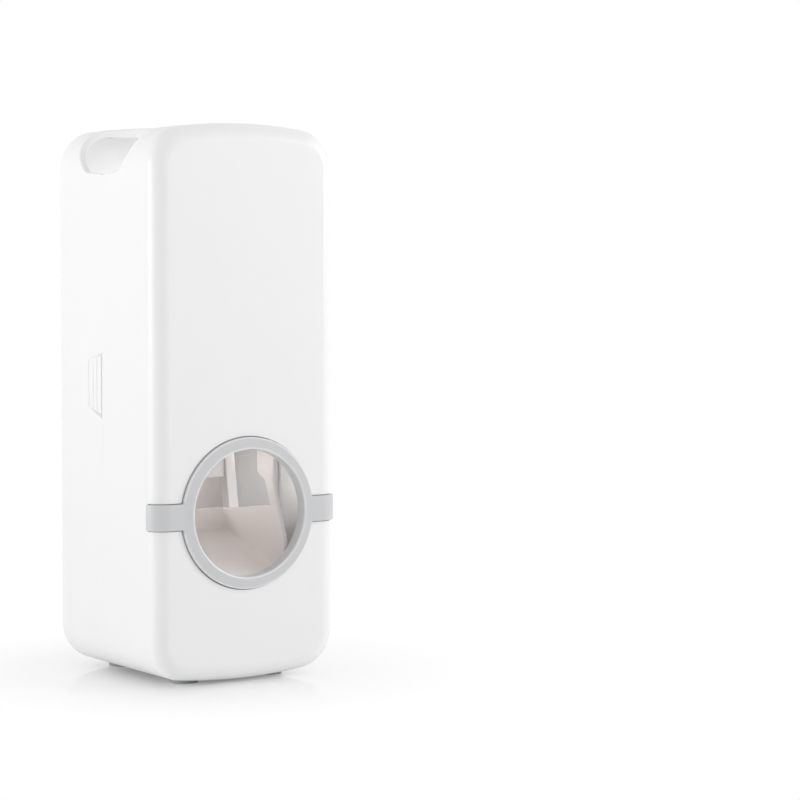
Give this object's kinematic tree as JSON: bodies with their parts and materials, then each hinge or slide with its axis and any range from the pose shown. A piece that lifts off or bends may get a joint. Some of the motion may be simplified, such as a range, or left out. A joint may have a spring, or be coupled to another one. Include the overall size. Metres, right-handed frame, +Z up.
{
  "type": "toothpaste dispenser",
  "caption": "Push-to-dispense toothpaste dispenser: round brush opening, spring-returned pump cradle, slotted top for an upturned tube.",
  "frame": {"origin": "on the standing surface, under the middle of the housing", "axes": "+Z up, -Y out of the front face with the brush opening, +X to the right seen from the front"},
  "size_m": [0.0616, 0.0632, 0.158],
  "materials": {
    "housing_white": "satin moulded, very fine grain",
    "trim_grey": "satin moulded",
    "mechanism_white": "plain moulded, slightly warm",
    "clear_grey": "smooth moulded",
    "rubber_grey": "matt",
    "screw_steel": "zinc plated",
    "foam_tape": "paper-faced foam"
  },
  "bodies": {
    "housing": {"rear_housing": "housing_white", "adhesive_pads": "foam_tape", "housing_feet": "rubber_grey", "chassis": "mechanism_white", "chassis_screws": "screw_steel", "pump_cylinder": "mechanism_white", "cylinder_cap": "mechanism_white", "pump_screws": "screw_steel", "inlet_valve": "rubber_grey", "tube_socket": "clear_grey", "neck_seal": "rubber_grey", "outlet_duct": "mechanism_white", "outlet_spout": "mechanism_white", "outlet_valve": "rubber_grey", "return_spring": "screw_steel"},
    "cover": {"front_cover": "housing_white", "trim_ring": "trim_grey", "cover_feet": "rubber_grey"},
    "cradle": {"push_cradle": "mechanism_white", "slider": "mechanism_white", "cradle_screws": "screw_steel", "piston_rod": "screw_steel", "rod_clip": "screw_steel", "piston": "clear_grey", "piston_seal": "rubber_grey"}
  },
  "joints": [
    {"name": "cradle_push", "type": "slide", "parent": "housing", "child": "cradle", "axis": [0, 1, 0], "range_m": [0, 0.01], "stiffness_N_per_m": 250, "springref_m": -0.006, "deforming": ["return_spring"]},
    {"name": "cover_off", "type": "slide", "parent": "housing", "child": "cover", "axis": [0, -1, 0], "range_m": [0, 0.045]}
  ]
}
